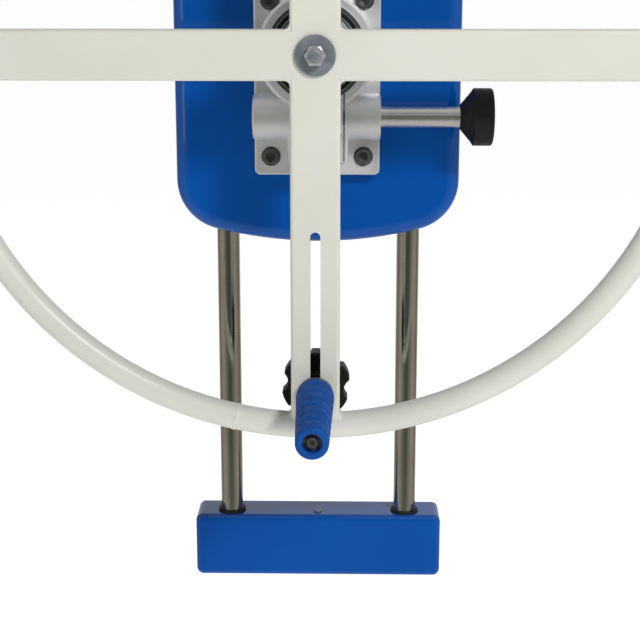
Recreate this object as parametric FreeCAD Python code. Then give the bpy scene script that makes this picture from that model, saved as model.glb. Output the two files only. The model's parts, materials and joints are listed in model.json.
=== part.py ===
"""Wall-mounted shoulder exercise wheel, in millimetres.

Frame: the origin is the centre of the lower wall plate's back face. The wall is the plane Y = 0,
the front of the object faces -Y, +X is to the user's right and +Z is up.
"""
import FreeCAD
import Part
import math
import os

# ---------------------------------------------------------------- driving dimensions
# Wall frame
COLUMN_SPACING = 200.0
COLUMN_R = 12.5
COLUMN_WALL = 2.0
COLUMN_Y = -25.0
UPPER_BRACKET_Z = 1140.0
BRACKET_WIDTH = 282.0
BRACKET_HEIGHT = 74.0
BRACKET_DEPTH = 45.0
SHELL_WALL = 3.0
WALL_PLATE = (254.0, 66.0, 5.0)
WALL_BOLT_SPACING_X = 120.0
WALL_BOLT_SPACING_Z = 36.0
WALL_BOLT_HOLE_R = 4.5

# Carriage
HUB_Z = 570.0
CARRIAGE_PLATE_BACK_Y = -43.0
CARRIAGE_PLATE_T = 5.0
GUIDE_BLOCK_Z = 110.0
COVER_FRONT_Y = -62.0
COVER_BACK_Y = -8.0
COVER_HALF_WIDTH = 153.5
COVER_TOP = 188.0
COVER_BOTTOM = 209.5
COVER_BOW_R = 450.0
COVER_CORNER_R = 56.0

# Bearing housing, two thin-section ball bearings 80 x 100 x 10 and the brake
HOUSING_HALF_WIDTH = 66.5
HOUSING_TOP = 71.0
HOUSING_BOTTOM = -132.0
HOUSING_FLANGE_T = 14.0
HOUSING_FRONT_Y = -112.0
HOUSING_BOSS_R = 61.0
HOUSING_SCREW_X = 49.0
HOUSING_SCREW_Z = (-112.0, 51.0)
BEARING_BORE_R = 40.0
BEARING_OUTER_R = 50.0
BEARING_WIDTH = 10.0
BALL_COUNT = 30
BALL_R = 3.0
BRAKE_Y = -90.0
BRAKE_Z = -68.5
BRAKE_ROD_R = 11.0

# Wheel
WHEEL_R = 380.0
RIM_TUBE_R = 13.45
SPOKE_WIDTH = 50.0
SPOKE_DEPTH = 20.0
SPOKE_BACK_Y = -158.0
SPOKE_EDGE_R = 4.0
TUBE_WALL = 2.0
SLOT_WIDTH = 10.5
SLOT_TOP = -175.0
SLOT_BOTTOM = -350.0

# Handle and its clamp knob
HANDLE_DROP = 344.0
GRIP_LENGTH = 142.0
GRIP_BASE_R = 19.8
GRIP_END_R = 16.0
STAR_KNOB_R = 36.0

# Clearances
FIT = 0.05
GAP = 0.3

# ---------------------------------------------------------------- worked out from the above
SPOKE_FRONT_Y = SPOKE_BACK_Y - SPOKE_DEPTH
RIM_Y = SPOKE_BACK_Y - SPOKE_DEPTH / 2
HALF_SPOKE = SPOKE_WIDTH / 2
COLUMN_X = COLUMN_SPACING / 2
PLATE_FRONT_Y = CARRIAGE_PLATE_BACK_Y - CARRIAGE_PLATE_T
FLANGE_FRONT_Y = COVER_FRONT_Y - HOUSING_FLANGE_T
HANDLE_Z = HUB_Z - HANDLE_DROP
SIDES = (-1, 1)
X_AXIS = FreeCAD.Vector(1, 0, 0)
Y_AXIS = FreeCAD.Vector(0, 1, 0)
Z_AXIS = FreeCAD.Vector(0, 0, 1)


# ---------------------------------------------------------------- plain shapes
def vec(x, y, z):
    return FreeCAD.Vector(x, y, z)


def box(x0, x1, y0, y1, z0, z1):
    """Box between two corners given as ranges."""
    return Part.makeBox(x1 - x0, y1 - y0, z1 - z0, vec(x0, y0, z0))


def rod_x(x0, x1, y, z, r):
    return Part.makeCylinder(r, x1 - x0, vec(x0, y, z), X_AXIS)


def rod_y(x, y0, y1, z, r):
    return Part.makeCylinder(r, y1 - y0, vec(x, y0, z), Y_AXIS)


def rod_z(x, y, z0, z1, r):
    return Part.makeCylinder(r, z1 - z0, vec(x, y, z0), Z_AXIS)


def ring_x(x0, x1, y, z, r_out, r_in):
    return rod_x(x0, x1, y, z, r_out).cut(rod_x(x0 - 1, x1 + 1, y, z, r_in))


def ring_y(x, y0, y1, z, r_out, r_in):
    return rod_y(x, y0, y1, z, r_out).cut(rod_y(x, y0 - 1, y1 + 1, z, r_in))


def ring_z(x, y, z0, z1, r_out, r_in):
    return rod_z(x, y, z0, z1, r_out).cut(rod_z(x, y, z0 - 1, z1 + 1, r_in))


def cone_x(x0, x1, y, z, r0, r1):
    return Part.makeCone(r0, r1, x1 - x0, vec(x0, y, z), X_AXIS)


def cone_y(x, y0, y1, z, r0, r1):
    return Part.makeCone(r0, r1, y1 - y0, vec(x, y0, z), Y_AXIS)


def hexagon_y(x, y0, y1, z, across_flats):
    """Hexagonal prism along Y, with two flats facing up and down."""
    corner_r = across_flats / math.sqrt(3)
    corners = []
    for step in range(7):
        angle = math.radians(60 * step)
        corners.append(vec(x + corner_r * math.cos(angle), y0, z + corner_r * math.sin(angle)))
    return Part.Face(Part.makePolygon(corners)).extrude(vec(0, y1 - y0, 0))


def stadium_y(x, y0, y1, z0, z1, width):
    """Slot shape along Z with round ends, as deep as y0 to y1."""
    r = width / 2
    body = box(x - r, x + r, y0, y1, z0 + r, z1 - r)
    return join([body, rod_y(x, y0, y1, z0 + r, r), rod_y(x, y0, y1, z1 - r, r)])


def join(shapes):
    """One solid from touching shapes, with the seams between flat faces removed."""
    whole = shapes[0].multiFuse(shapes[1:])
    return whole.removeSplitter()


def edges_along(shape, axis, keep=None):
    """Straight edges parallel to an axis, and for which keep(middle point) is true."""
    found = []
    for edge in shape.Edges:
        if not isinstance(edge.Curve, (Part.Line, Part.LineSegment)):
            continue
        ends = edge.Vertexes
        along = (ends[1].Point - ends[0].Point).normalize()
        if abs(abs(along.dot(axis)) - 1) > 1e-6:
            continue
        if keep is None or keep(edge.CenterOfMass):
            found.append(edge)
    return found


def edges_at(shape, keep):
    """Edges whose middle point passes the test."""
    return [edge for edge in shape.Edges if keep(edge.CenterOfMass)]


def soften(shape, radius, edges):
    return shape.makeFillet(radius, edges)


def mirror_x(shape):
    return shape.mirror(vec(0, 0, 0), X_AXIS)


def at_hub(shape):
    """Lift a shape drawn about the hub centre to its place on the columns."""
    moved = shape.copy()
    moved.translate(vec(0, 0, HUB_Z))
    return moved


def save(name, shapes):
    """Write one node, a single solid or a group of separate solids."""
    os.makedirs("parts", exist_ok=True)
    solids = []
    for shape in (shapes if isinstance(shapes, list) else [shapes]):
        solids.extend(shape.Solids)
    if not solids or not all(solid.isValid() for solid in solids):
        raise ValueError("bad solid in " + name)
    whole = solids[0] if len(solids) == 1 else Part.Compound(solids)
    whole.exportStep(os.path.join("parts", name + ".step"))


# ---------------------------------------------------------------- wall frame
SOCKET_HALF_WIDTH = 22.0
SOCKET_HALF_HEIGHT = 26.0
SOCKET_FRONT_Y = -41.0
COLUMN_END_Z = -22.0
SET_SCREW_R = 4.0
COVER_HOLE_R = 14.5
GROMMET_R = 15.8
TAB_Y = (-38.0, -WALL_PLATE[2])
TAB_Z = (29.4, 33.8)
TAB_SCREW_Y = -30.0


def wall_plate():
    """Steel plate with four bolt holes and a bent tab that the cover's screw goes into."""
    width, height, thickness = WALL_PLATE
    plate = box(-width / 2, width / 2, -thickness, 0, -height / 2, height / 2)
    plate = soften(plate, 6, edges_along(plate, Y_AXIS))
    tab = box(-14, 14, TAB_Y[0], -thickness / 2, *TAB_Z)
    plate = join([plate, tab])
    holes = [rod_z(0, TAB_SCREW_Y, TAB_Z[0] - 1, TAB_Z[1] + 1, 2.05)]
    for side in SIDES:
        for end in SIDES:
            x = side * WALL_BOLT_SPACING_X / 2
            z = end * WALL_BOLT_SPACING_Z / 2
            holes.append(rod_y(x, -10, 1, z, WALL_BOLT_HOLE_R))
    return plate.cut(holes)


def column_socket(side):
    """Block on the wall plate, bored from above for the column's end."""
    x = side * COLUMN_X
    block = box(x - SOCKET_HALF_WIDTH, x + SOCKET_HALF_WIDTH, SOCKET_FRONT_Y, -WALL_PLATE[2],
                -SOCKET_HALF_HEIGHT, SOCKET_HALF_HEIGHT)
    block = soften(block, 3, edges_along(block, Z_AXIS, lambda p: p.y < -20))
    bore = rod_z(x, COLUMN_Y, COLUMN_END_Z, SOCKET_HALF_HEIGHT + 1, COLUMN_R + FIT)
    outer = x + side * SOCKET_HALF_WIDTH
    screw_hole = rod_x(min(x, outer) - 1, max(x, outer) + 1, COLUMN_Y, 0, SET_SCREW_R)
    return block.cut([bore, screw_hole.common(half_space(x, side))])


def half_space(x, side):
    """Large block on one side of the plane at x."""
    return box(x, x + 100, -200, 200, -200, 200) if side > 0 else box(x - 100, x, -200, 200, -200, 200)


def set_screw(side):
    """Headless screw with a hexagon socket, from the block's outer side onto the column."""
    x0 = COLUMN_X + COLUMN_R + FIT
    x1 = COLUMN_X + SOCKET_HALF_WIDTH
    screw = rod_x(x0, x1, COLUMN_Y, 0, SET_SCREW_R - FIT)
    socket = hexagon_y(0, 0, 4, 0, 4)
    socket.rotate(vec(0, 0, 0), Z_AXIS, 90)
    socket.translate(vec(x1 + 0.5, COLUMN_Y, 0))
    screw = screw.cut(socket)
    return screw if side > 0 else mirror_x(screw)


def bracket_cover():
    """Open-backed glossy shell over plate and sockets, with the columns through its top."""
    half_w = BRACKET_WIDTH / 2
    half_h = BRACKET_HEIGHT / 2
    outer = box(-half_w, half_w, -BRACKET_DEPTH, -0.5, -half_h, half_h)
    outer = soften(outer, 8, edges_along(outer, Y_AXIS))
    outer = soften(outer, 6, edges_at(outer, lambda p: p.y < -BRACKET_DEPTH + 0.01))
    t = SHELL_WALL
    inner = box(-half_w + t, half_w - t, -BRACKET_DEPTH + t, 1, -half_h + t, half_h - t)
    inner = soften(inner, 5, edges_along(inner, Y_AXIS))
    inner = soften(inner, 3, edges_at(inner, lambda p: p.y < -BRACKET_DEPTH + t + 0.01))
    holes = [rod_z(0, TAB_SCREW_Y, 0, 50, 2.3)]
    for side in SIDES:
        holes.append(rod_z(side * COLUMN_X, COLUMN_Y, 0, 50, COVER_HOLE_R))
    return outer.cut(inner).cut(holes)


def bracket_screw():
    """Small pan head screw with a cross recess, down through the cover into the tab."""
    top = BRACKET_HEIGHT / 2
    head = rod_z(0, TAB_SCREW_Y, top, top + 2.4, 4.4)
    head = soften(head, 1.4, edges_at(head, lambda p: p.z > top + 2.3))
    screw = join([head, rod_z(0, TAB_SCREW_Y, top - 12, top, 2.0)])
    slots = []
    for size in ((2.4, 0.6), (0.6, 2.4)):
        slots.append(box(-size[0], size[0], TAB_SCREW_Y - size[1], TAB_SCREW_Y + size[1], top + 1.2, top + 3))
    return screw.cut(slots)


def column_grommet(side):
    """Dark ring that seals the column where it enters the cover."""
    top = BRACKET_HEIGHT / 2
    x = side * COLUMN_X
    collar = ring_z(x, COLUMN_Y, top - SHELL_WALL, top, COVER_HOLE_R - FIT, COLUMN_R + FIT)
    flange = ring_z(x, COLUMN_Y, top, top + 2.6, GROMMET_R, COLUMN_R + FIT)
    flange = soften(flange, 1.2, edges_at(flange, lambda p: p.z > top + 2.5)[:1])
    return join([collar, flange])


def column(side):
    top = UPPER_BRACKET_Z - COLUMN_END_Z
    x = side * COLUMN_X
    return ring_z(x, COLUMN_Y, COLUMN_END_Z, top, COLUMN_R, COLUMN_R - COLUMN_WALL)


def to_upper(shape):
    """The upper bracket is the lower one turned over."""
    moved = shape.mirror(vec(0, 0, 0), Z_AXIS)
    moved.translate(vec(0, 0, UPPER_BRACKET_Z))
    return moved


def make_wall_frame():
    plate = wall_plate()
    sockets = [column_socket(side) for side in SIDES]
    screws = [set_screw(side) for side in SIDES]
    cover = bracket_cover()
    cover_screw = bracket_screw()
    grommets = [column_grommet(side) for side in SIDES]
    save("lower_wall_plate", plate)
    save("upper_wall_plate", to_upper(plate))
    save("lower_column_sockets", sockets)
    save("upper_column_sockets", [to_upper(shape) for shape in sockets])
    save("socket_set_screws", screws + [to_upper(shape) for shape in screws])
    save("lower_bracket_cover", cover)
    save("upper_bracket_cover", to_upper(cover))
    save("bracket_cover_screws", [cover_screw, to_upper(cover_screw)])
    save("column_grommets", grommets + [to_upper(shape) for shape in grommets])
    save("column_left", column(-1))
    save("column_right", column(1))


# ---------------------------------------------------------------- carriage
PLATE_HALF_WIDTH = 128.0
PLATE_HALF_HEIGHT = 142.0
BLOCK_HALF_WIDTH = 26.0
BLOCK_HALF_HEIGHT = 25.0
BLOCK_BACK_Y = -9.0
BUSH_R = 15.0
BLOCK_SCREW_X = 20.5
BLOCK_SCREW_Z = 14.0
BLOCK_SCREW_R = 3.0
HOUSING_SCREW_R = 6.0
SPACER_R = 10.0
COVER_COLUMN_HOLE_R = 14.5
LOCK_Z = HUB_Z + GUIDE_BLOCK_Z
LOCK_R = 5.0


def housing_screw_places():
    return [(side * HOUSING_SCREW_X, z) for side in SIDES for z in HOUSING_SCREW_Z]


def guide_block_places():
    return [(side * COLUMN_X, end * GUIDE_BLOCK_Z) for side in SIDES for end in SIDES]


def block_screw_places():
    places = []
    for x, z in guide_block_places():
        for side in SIDES:
            places.append((x + side * BLOCK_SCREW_X, z + side * BLOCK_SCREW_Z))
    return places


def carriage_plate():
    plate = box(-PLATE_HALF_WIDTH, PLATE_HALF_WIDTH, PLATE_FRONT_Y, CARRIAGE_PLATE_BACK_Y,
                -PLATE_HALF_HEIGHT, PLATE_HALF_HEIGHT)
    plate = soften(plate, 10, edges_along(plate, Y_AXIS))
    holes = []
    for x, z in housing_screw_places():
        holes.append(rod_y(x, -60, -30, z, HOUSING_SCREW_R + FIT))
    for x, z in block_screw_places():
        holes.append(rod_y(x, -60, -30, z, BLOCK_SCREW_R + FIT))
    return plate.cut(holes)


def lock_hole():
    """Threaded hole for the height lock, from the right side to the right column."""
    return rod_x(COLUMN_X, 200, COLUMN_Y, GUIDE_BLOCK_Z, LOCK_R)


def guide_block(x, z):
    block = box(x - BLOCK_HALF_WIDTH, x + BLOCK_HALF_WIDTH, CARRIAGE_PLATE_BACK_Y, BLOCK_BACK_Y,
                z - BLOCK_HALF_HEIGHT, z + BLOCK_HALF_HEIGHT)
    block = soften(block, 3, edges_along(block, Z_AXIS, lambda p: p.y > -20))
    holes = [rod_z(x, COLUMN_Y, z - 40, z + 40, BUSH_R)]
    for side in SIDES:
        holes.append(rod_y(x + side * BLOCK_SCREW_X, -60, -20, z + side * BLOCK_SCREW_Z, BLOCK_SCREW_R))
    if x > 0 and z > 0:
        holes.append(lock_hole())
    return block.cut(holes)


def guide_bush(x, z):
    bush = ring_z(x, COLUMN_Y, z - BLOCK_HALF_HEIGHT, z + BLOCK_HALF_HEIGHT, BUSH_R - 0.02, COLUMN_R + FIT)
    return bush.cut(lock_hole()) if x > 0 and z > 0 else bush


def socket_screw(x, z, head_y, shank_end_y, shank_r, head_r, head_t):
    """Socket head cap screw pointing at the wall, with its head's underside at head_y."""
    head = rod_y(x, head_y - head_t, head_y, z, head_r)
    head = soften(head, head_r * 0.1, edges_at(head, lambda p: p.y < head_y - head_t + 0.01))
    screw = join([head, rod_y(x, head_y, shank_end_y, z, shank_r)])
    return screw.cut(hexagon_y(x, head_y - head_t - 1, head_y - head_t * 0.45, z, head_r * 1.1))


def cover_outline(inset):
    """Front outline of the cover: straight sides, round corners and a gently bowed bottom."""
    w = COVER_HALF_WIDTH - inset
    top = COVER_TOP - inset
    bottom = -COVER_BOTTOM + inset
    bow_r = COVER_BOW_R - inset
    side_bottom = bottom + bow_r - math.sqrt(bow_r ** 2 - w ** 2)
    bow = Part.Arc(vec(-w, 0, side_bottom), vec(0, 0, bottom), vec(w, 0, side_bottom)).toShape()
    lines = [
        Part.makeLine(vec(w, 0, side_bottom), vec(w, 0, top)),
        Part.makeLine(vec(w, 0, top), vec(-w, 0, top)),
        Part.makeLine(vec(-w, 0, top), vec(-w, 0, side_bottom)),
    ]
    return Part.Face(Part.Wire([bow] + lines))


def cover_body(inset, front_y, back_y, edge_r):
    body = cover_outline(inset).extrude(vec(0, back_y - front_y, 0))
    body.translate(vec(0, front_y, 0))
    body = soften(body, COVER_CORNER_R - inset, edges_along(body, Y_AXIS))
    return soften(body, edge_r, edges_at(body, lambda p: p.y < front_y + 0.01))


def carriage_cover():
    """Deep glossy shell over the guide blocks, open towards the wall."""
    outer = cover_body(0, COVER_FRONT_Y, COVER_BACK_Y, 16)
    inner = cover_body(SHELL_WALL, COVER_FRONT_Y + SHELL_WALL, COVER_BACK_Y + 5, 13)
    holes = [rod_x(COVER_HALF_WIDTH - 8, COVER_HALF_WIDTH + 8, COLUMN_Y, GUIDE_BLOCK_Z, 7.5)]
    for side in SIDES:
        holes.append(rod_z(side * COLUMN_X, COLUMN_Y, -260, 260, COVER_COLUMN_HOLE_R))
    for x, z in housing_screw_places():
        holes.append(rod_y(x, -70, -50, z, HOUSING_SCREW_R + FIT))
    return outer.cut(inner).cut(holes)


def cover_spacer(x, z):
    return ring_y(x, COVER_FRONT_Y + SHELL_WALL, PLATE_FRONT_Y, z, SPACER_R, HOUSING_SCREW_R + FIT)


def housing_nut(x, z):
    nut = hexagon_y(x, CARRIAGE_PLATE_BACK_Y, CARRIAGE_PLATE_BACK_Y + 10, z, 19)
    round_off = cone_y(x, CARRIAGE_PLATE_BACK_Y, CARRIAGE_PLATE_BACK_Y + 10, z, 15, 10.2)
    return nut.common(round_off).cut(rod_y(x, -60, 0, z, HOUSING_SCREW_R))


def make_carriage():
    blocks = []
    bushes = []
    for x, z in guide_block_places():
        blocks.append(at_hub(guide_block(x, z)))
        bushes.append(at_hub(guide_bush(x, z)))
    screws = [at_hub(socket_screw(x, z, PLATE_FRONT_Y, -24, BLOCK_SCREW_R - 0.02, 5, 6))
              for x, z in block_screw_places()]
    spacers = [at_hub(cover_spacer(x, z)) for x, z in housing_screw_places()]
    nuts = [at_hub(housing_nut(x, z)) for x, z in housing_screw_places()]
    save("carriage_plate", at_hub(carriage_plate()))
    save("guide_blocks", blocks)
    save("guide_bushes", bushes)
    save("guide_block_screws", screws)
    save("carriage_cover", at_hub(carriage_cover()))
    save("cover_spacers", spacers)
    save("housing_nuts", nuts)


# ---------------------------------------------------------------- bearing housing and brake
FRONT_BEARING_Y = -108.0
REAR_BEARING_Y = -82.0
HOUSING_SHOULDER_R = 46.5
REAR_SHOULDER_Y = REAR_BEARING_Y + BEARING_WIDTH
CROSS_BOSS_R = 24.0
CENTRE_BLOCK_X = (-30.5, 33.0)
CENTRE_BLOCK_Z = -114.0
CENTRE_BLOCK_FRONT_Y = -107.0
SLIT_X = 28.4
SLIT_WIDTH = 1.8
COUNTERBORE_R = 10.3
LUG_HALF_DEPTH = 7.0
LUG_BOTTOM = -79.0
LUG_GAP = 3.0
LUG_X = 13.6
PAD_X = (15.8, 36.0)
BRAKE_BORE_R = 12.5
BUSH_X = (44.0, 56.0)
BRAKE_SCREW_R = 5.0
ROD_X = (58.5, 149.0)
KNOB_X = (149.0, 183.0)
KNOB_R = 30.0


def bearing_housing():
    """Flange, round bearing boss, cross boss for the brake and a central block under the boss."""
    w = HOUSING_HALF_WIDTH
    flange = box(-w, w, FLANGE_FRONT_Y, COVER_FRONT_Y, HOUSING_BOTTOM, HOUSING_TOP)
    flange = soften(flange, 6, edges_along(flange, Y_AXIS))
    flange = soften(flange, 2, edges_at(flange, lambda p: p.y < FLANGE_FRONT_Y + 0.01))
    boss = rod_y(0, HOUSING_FRONT_Y, COVER_FRONT_Y - 4, 0, HOUSING_BOSS_R)
    boss = boss.makeChamfer(3, edges_at(boss, lambda p: p.y < HOUSING_FRONT_Y + 0.01))
    cross = rod_x(-w, w, BRAKE_Y, BRAKE_Z, CROSS_BOSS_R)
    cross = cross.makeChamfer(1.5, edges_at(cross, lambda p: abs(p.x) > w - 0.01))
    cross_foot = box(-w + 1.5, w - 1.5, BRAKE_Y + 6, COVER_FRONT_Y - 4, BRAKE_Z - 23, BRAKE_Z + 23)
    block = box(*CENTRE_BLOCK_X, CENTRE_BLOCK_FRONT_Y, COVER_FRONT_Y - 4, CENTRE_BLOCK_Z, -30)
    block = soften(block, 3, edges_along(block, Z_AXIS, lambda p: p.y < CENTRE_BLOCK_FRONT_Y + 1))
    body = join([flange, boss, cross, cross_foot, block])
    r = BEARING_OUTER_R
    tools = [
        rod_y(0, HOUSING_FRONT_Y - 1, REAR_SHOULDER_Y, 0, r),
        rod_y(0, HOUSING_FRONT_Y - 1, FRONT_BEARING_Y - 1.8, 0, r + 1.2),
        rod_y(0, HOUSING_FRONT_Y - 1, COVER_FRONT_Y + 1, 0, HOUSING_SHOULDER_R),
        rod_y(0, FRONT_BEARING_Y - 1.8, FRONT_BEARING_Y, 0, r + 2.4),
        cone_y(0, HOUSING_FRONT_Y - 0.01, HOUSING_FRONT_Y + 2, 0, r + 4, r + 1.2),
        rod_x(PAD_X[0] - 2, w + 1, BRAKE_Y, BRAKE_Z, BRAKE_BORE_R),
        box(-LUG_X - 0.4, PAD_X[0] - 1, BRAKE_Y - LUG_HALF_DEPTH - 0.3, BRAKE_Y + LUG_HALF_DEPTH + 0.3,
            LUG_BOTTOM - 1, -40),
        box(SLIT_X - SLIT_WIDTH / 2, SLIT_X + SLIT_WIDTH / 2, CENTRE_BLOCK_FRONT_Y - 10,
            CENTRE_BLOCK_FRONT_Y + 7, CENTRE_BLOCK_Z + 1, -43),
    ]
    for x, z in housing_screw_places():
        tools.append(rod_y(x, -90, -50, z, HOUSING_SCREW_R + FIT))
        tools.append(rod_y(x, -90, FLANGE_FRONT_Y + 7, z, COUNTERBORE_R))
    return body.cut(tools)


def bearing_ring(y0, r_out, r_in):
    """Plain ring with a ball groove and lightly broken edges."""
    ring = ring_y(0, y0, y0 + BEARING_WIDTH, 0, r_out, r_in)
    groove = Part.makeTorus(pitch_r(), BALL_R + 0.12, vec(0, y0 + BEARING_WIDTH / 2, 0), Y_AXIS)
    return ring.cut(groove)


def pitch_r():
    return (BEARING_OUTER_R + BEARING_BORE_R) / 2


def bearing_balls(y0):
    balls = []
    for index in range(BALL_COUNT):
        angle = 2 * math.pi * index / BALL_COUNT
        centre = vec(pitch_r() * math.sin(angle), y0 + BEARING_WIDTH / 2, pitch_r() * math.cos(angle))
        balls.append(Part.makeSphere(BALL_R, centre))
    return balls


def bearing_cage(y0):
    """Ring between the races with a pocket for each ball."""
    cage = ring_y(0, y0 + 1.2, y0 + BEARING_WIDTH - 1.2, 0, pitch_r() + 1.1, pitch_r() - 1.1)
    pockets = []
    for index in range(BALL_COUNT):
        angle = 360 * index / BALL_COUNT
        pocket = rod_z(0, y0 + BEARING_WIDTH / 2, pitch_r() - 6, pitch_r() + 6, BALL_R + 0.15)
        pocket.rotate(vec(0, 0, 0), Y_AXIS, angle)
        pockets.append(pocket)
    return cage.cut(pockets)


def snap_ring(y0, thickness, r_out, r_in, gap_angle, lug_r, lug_side):
    """Open spring ring with two eyes beside its gap."""
    ring = ring_y(0, y0, y0 + thickness, 0, r_out, r_in)
    half_gap = r_out * math.tan(math.radians(gap_angle / 2))
    ring = ring.cut(box(-half_gap, half_gap, y0 - 1, y0 + thickness + 1, -r_out - 9, 0))
    eye_r = r_in if lug_side < 0 else r_out
    eyes = []
    holes = []
    for side in SIDES:
        x = side * (half_gap + lug_r)
        z = -math.sqrt(eye_r ** 2 - x ** 2) - lug_side * lug_r * 0.4
        eyes.append(rod_y(x, y0, y0 + thickness, z, lug_r))
        holes.append(rod_y(x, y0 - 1, y0 + thickness + 1, z, lug_r * 0.4))
    return join([ring] + eyes).cut(holes)


def brake_lining():
    """Split band round the hub drum, with two lugs that the brake screw draws together."""
    y0 = BRAKE_Y - LUG_HALF_DEPTH - 1
    y1 = BRAKE_Y + LUG_HALF_DEPTH + 1
    band = ring_y(0, y0, y1, 0, BEARING_OUTER_R - FIT, BEARING_BORE_R + 0.25)
    lugs = box(-LUG_X, LUG_X, BRAKE_Y - LUG_HALF_DEPTH, BRAKE_Y + LUG_HALF_DEPTH, LUG_BOTTOM, -46)
    band = join([band, lugs])
    return band.cut(box(-LUG_GAP / 2, LUG_GAP / 2, y0 - 1, y1 + 1, LUG_BOTTOM - 1, -30))


def brake_pad():
    pad = rod_x(*PAD_X, BRAKE_Y, BRAKE_Z, BRAKE_BORE_R - FIT)
    pad = pad.makeChamfer(1, edges_at(pad, lambda p: p.x < PAD_X[0] + 0.01))
    return pad.cut(rod_x(PAD_X[0] + 5, PAD_X[1] + 1, BRAKE_Y, BRAKE_Z, BRAKE_SCREW_R + FIT))


def brake_bush():
    """Threaded bush pressed into the cross boss."""
    return ring_x(*BUSH_X, BRAKE_Y, BRAKE_Z, BRAKE_BORE_R, BRAKE_SCREW_R + FIT)


def brake_rod():
    """Screw with a thick plain stem outside the housing."""
    screw = rod_x(PAD_X[0] + 5.2, ROD_X[0], BRAKE_Y, BRAKE_Z, BRAKE_SCREW_R)
    stem = rod_x(*ROD_X, BRAKE_Y, BRAKE_Z, BRAKE_ROD_R)
    spigot = rod_x(ROD_X[1], ROD_X[1] + 18, BRAKE_Y, BRAKE_Z, 6)
    return join([screw, stem, spigot])


def brake_knob():
    """Conical neck and a wide rounded head, bored for the rod's end."""
    profile = [
        vec(KNOB_X[0], 0, 6.05),
        vec(KNOB_X[0], 0, 12.5),
        vec(KNOB_X[0] + 11, 0, 25.5),
        vec(KNOB_X[0] + 14, 0, KNOB_R),
        vec(KNOB_X[1], 0, KNOB_R),
        vec(KNOB_X[1], 0, 0),
        vec(KNOB_X[0] + 18.2, 0, 0),
        vec(KNOB_X[0] + 18.2, 0, 6.05),
        vec(KNOB_X[0], 0, 6.05),
    ]
    knob = Part.Face(Part.makePolygon(profile)).revolve(vec(0, 0, 0), X_AXIS, 360)
    knob = soften(knob, 3, edges_at(knob, lambda p: p.x > KNOB_X[1] - 0.01 and abs(p.z) < 1e-6)[:1])
    knob.translate(vec(0, BRAKE_Y, BRAKE_Z))
    return knob


def make_housing():
    rear, front = REAR_BEARING_Y, FRONT_BEARING_Y
    groove_r = pitch_r() + 2.2
    outer = [at_hub(bearing_ring(y0, BEARING_OUTER_R - 0.02, groove_r)) for y0 in (front, rear)]
    inner = [at_hub(bearing_ring(y0, pitch_r() - 2.2, BEARING_BORE_R + 0.02)) for y0 in (front, rear)]
    balls = bearing_balls(front) + bearing_balls(rear)
    screws = [at_hub(socket_screw(x, z, FLANGE_FRONT_Y + 7, -30, HOUSING_SCREW_R - FIT, 9, 12))
              for x, z in housing_screw_places()]
    save("bearing_housing", at_hub(bearing_housing()))
    save("bearing_outer_rings", outer)
    save("bearing_inner_rings", inner)
    save("bearing_cages", [at_hub(bearing_cage(y0)) for y0 in (front, rear)])
    save("bearing_balls", [at_hub(ball) for ball in balls])
    save("housing_snap_ring", at_hub(snap_ring(front - 1.7, 1.6, BEARING_OUTER_R + 2.2, 47.8, 20, 1.7, -1)))
    save("housing_screws", screws)
    save("brake_lining", at_hub(brake_lining()))
    save("brake_pad", at_hub(brake_pad()))
    save("brake_bush", at_hub(brake_bush()))
    save("brake_rod", at_hub(brake_rod()))
    save("brake_knob", at_hub(brake_knob()))


# ---------------------------------------------------------------- height lock
LOCK_PAD_X = (COLUMN_X + COLUMN_R + 0.2, COLUMN_X + COLUMN_R + 6.0)
LOCK_KNOB_X = (164.0, 185.5)
LOCK_KNOB_R = 20.0
LOBES = 6


def lobed_outline(r, lobes, depth, turn):
    """Closed outline in the XZ plane whose radius dips smoothly between its lobes."""
    points = []
    count = lobes * 8
    for step in range(count):
        angle = 2 * math.pi * step / count
        dip = (0.5 - 0.5 * math.cos(lobes * angle)) ** 2
        radius = r - depth * dip
        points.append(vec(radius * math.sin(angle + turn), 0, radius * math.cos(angle + turn)))
    curve = Part.BSplineCurve()
    curve.interpolate(points, PeriodicFlag=True)
    return Part.Face(Part.Wire([curve.toShape()]))


def lock_knob():
    """Small lobed knob on the height lock's screw."""
    head = lobed_outline(LOCK_KNOB_R, LOBES, 3, 0).extrude(vec(0, 13, 0))
    head.rotate(vec(0, 0, 0), Z_AXIS, -90)
    head.translate(vec(LOCK_KNOB_X[1] - 13, 0, 0))
    neck = cone_x(LOCK_KNOB_X[0], LOCK_KNOB_X[1] - 13, 0, 0, 9, 13)
    knob = join([head, neck]).cut(rod_x(LOCK_KNOB_X[0] - 1, LOCK_KNOB_X[1] - 5, 0, 0, 4.05))
    knob.translate(vec(0, COLUMN_Y, LOCK_Z))
    return knob


def lock_screw():
    shank = rod_x(LOCK_PAD_X[1] + FIT, LOCK_KNOB_X[0], COLUMN_Y, LOCK_Z, LOCK_R - FIT)
    return join([shank, rod_x(LOCK_KNOB_X[0], LOCK_KNOB_X[1] - 5.2, COLUMN_Y, LOCK_Z, 4)])


def make_height_lock():
    save("height_lock_pad", rod_x(*LOCK_PAD_X, COLUMN_Y, LOCK_Z, LOCK_R - FIT))
    save("height_lock_screw", lock_screw())
    save("height_lock_knob", lock_knob())


# ---------------------------------------------------------------- wheel
HUB_SHOULDER_R = 42.5
HUB_NECK_R = 30.0
HUB_FLANGE_R = 34.0
HUB_REAR_Y = -66.0
HUB_NECK_Y = -110.5
HUB_FLANGE_Y = -150.0
HUB_HOLLOW_R = 29.0
HUB_HOLLOW_FRONT_Y = -106.0
BOLT_R = 6.0
WASHER_R = 20.3
WASHER_T = 3.0
NUT_T = 8.0
NUT_FLATS = 18.0
WELD_R = 4.5


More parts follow.
